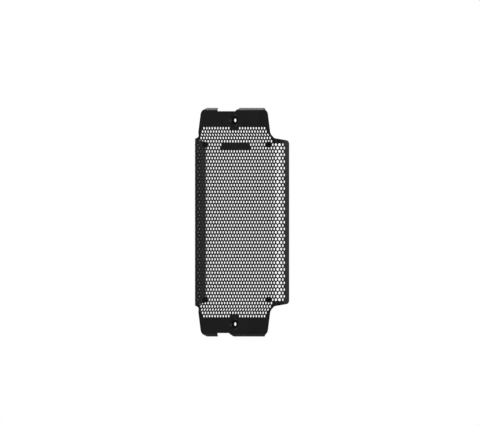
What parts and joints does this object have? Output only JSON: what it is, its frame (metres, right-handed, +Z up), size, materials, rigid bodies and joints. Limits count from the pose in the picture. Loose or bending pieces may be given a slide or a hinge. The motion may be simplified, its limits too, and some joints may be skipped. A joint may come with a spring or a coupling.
{
  "type": "motorcycle radiator guard",
  "caption": "Tall perforated sheet guard, folded back at the sides, with stepped end flanges and recessed screw seats, that shields a motorcycle radiator from stones.",
  "frame": {"origin": "midway between the two mounting holes, on the rear face of their recessed seats", "axes": "+Z up along the line of the mounting holes, -Y out of the front of the guard, +X to the right as seen from the front"},
  "size_m": [0.2036, 0.0338, 0.382],
  "materials": {
    "powder_coat": "satin black powder coat",
    "buffer_rubber": "matt black rubber"
  },
  "bodies": {
    "root": {"guard_sheet": "powder_coat", "bump_stop_top_left": "buffer_rubber", "bump_stop_top_right": "buffer_rubber", "bump_stop_bottom_left": "buffer_rubber", "bump_stop_bottom_right": "buffer_rubber"}
  },
  "joints": []
}
